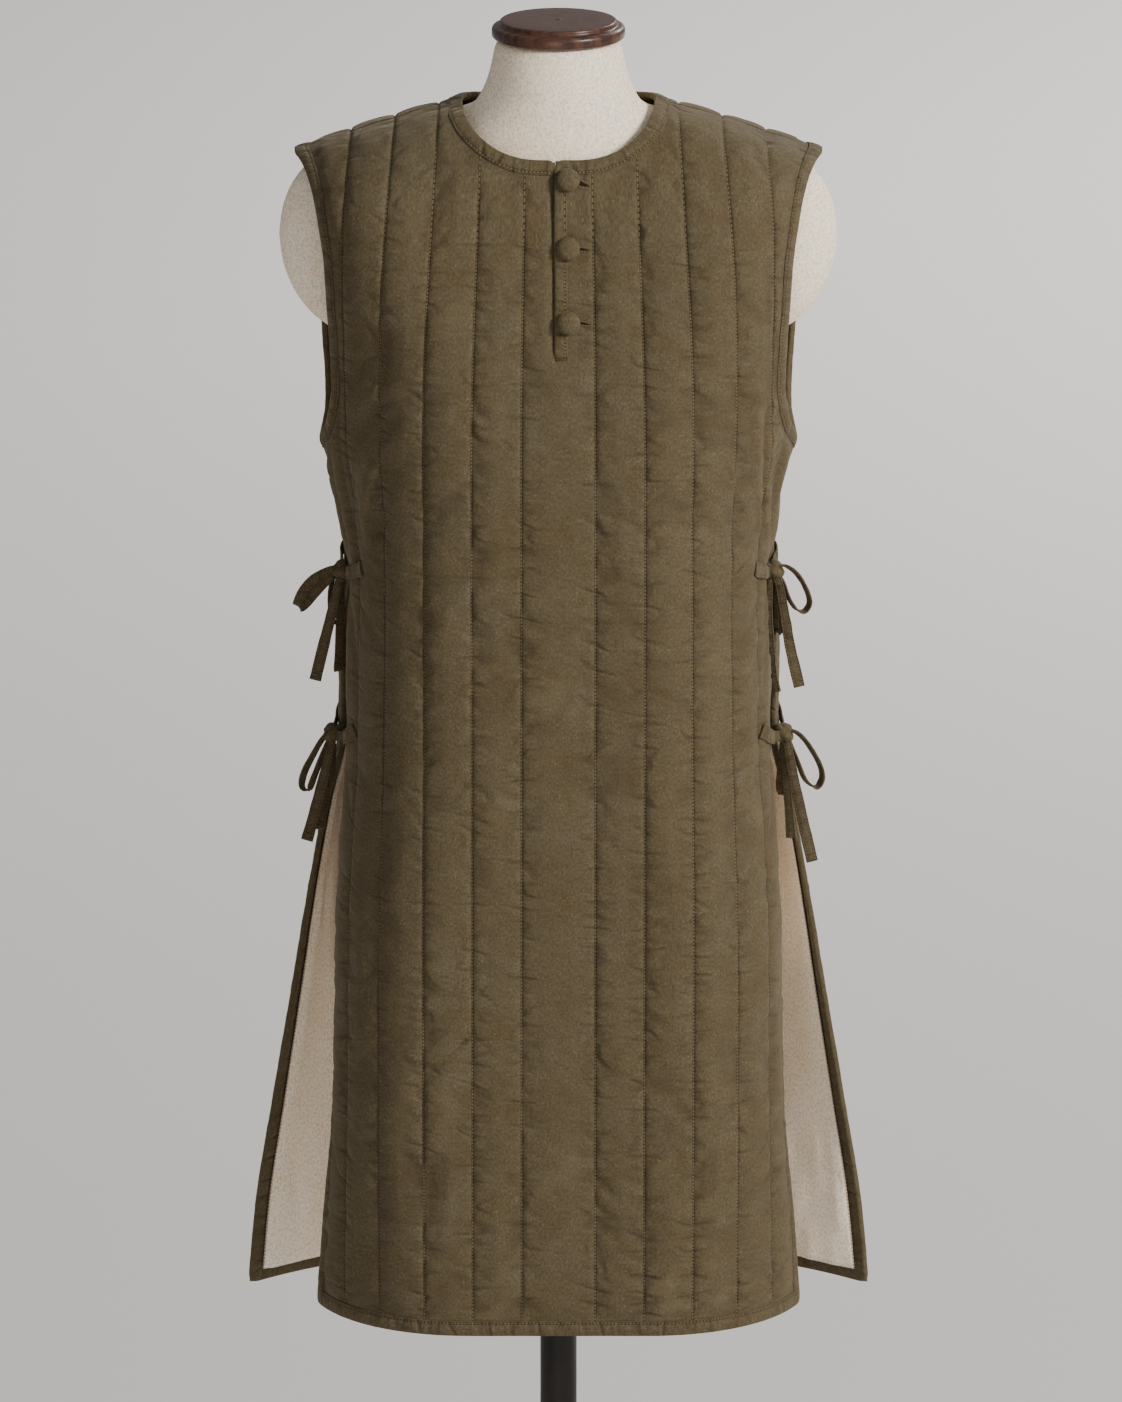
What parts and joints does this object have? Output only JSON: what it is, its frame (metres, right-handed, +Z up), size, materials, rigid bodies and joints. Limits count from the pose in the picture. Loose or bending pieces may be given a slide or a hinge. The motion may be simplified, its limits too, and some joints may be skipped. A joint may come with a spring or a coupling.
{
  "type": "quilted surcoat on a dress form",
  "caption": "Sleeveless quilted cotton surcoat with a buttoned neck slit, side slits tied with bows and a pale lining, on a limbless linen dress form with a round foot.",
  "frame": {"origin": "centre of the round foot's underside, on the floor", "axes": "+Z up; the garment's front faces -Y; +X is the viewer's right"},
  "size_m": [0.5462, 0.43, 1.6502],
  "materials": {
    "olive_cotton": "matt brushed cotton with a fine weave",
    "natural_cotton": "matt natural cotton",
    "linen": "matt linen stretched over a padded form",
    "varnished_wood": "dark red-brown varnish",
    "black_metal": "satin black paint"
  },
  "bodies": {
    "root": {"front_panel": "olive_cotton", "back_panel": "olive_cotton", "front_edge_binding": "olive_cotton", "back_edge_binding": "olive_cotton", "neck_binding": "olive_cotton", "armhole_binding_left": "olive_cotton", "armhole_binding_right": "olive_cotton", "placket": "olive_cotton", "button_1": "olive_cotton", "button_2": "olive_cotton", "button_3": "olive_cotton", "tie_waist_left_front": "olive_cotton", "tie_waist_left_back": "olive_cotton", "tie_waist_right_front": "olive_cotton", "tie_waist_right_back": "olive_cotton", "tie_hip_left_front": "olive_cotton", "tie_hip_left_back": "olive_cotton", "tie_hip_right_front": "olive_cotton", "tie_hip_right_back": "olive_cotton", "front_lining": "natural_cotton", "back_lining": "natural_cotton", "form_torso": "linen", "neck_cap": "varnished_wood", "pole_socket": "black_metal", "pole": "black_metal", "base_collar": "black_metal", "base_plate": "black_metal"}
  },
  "joints": []
}
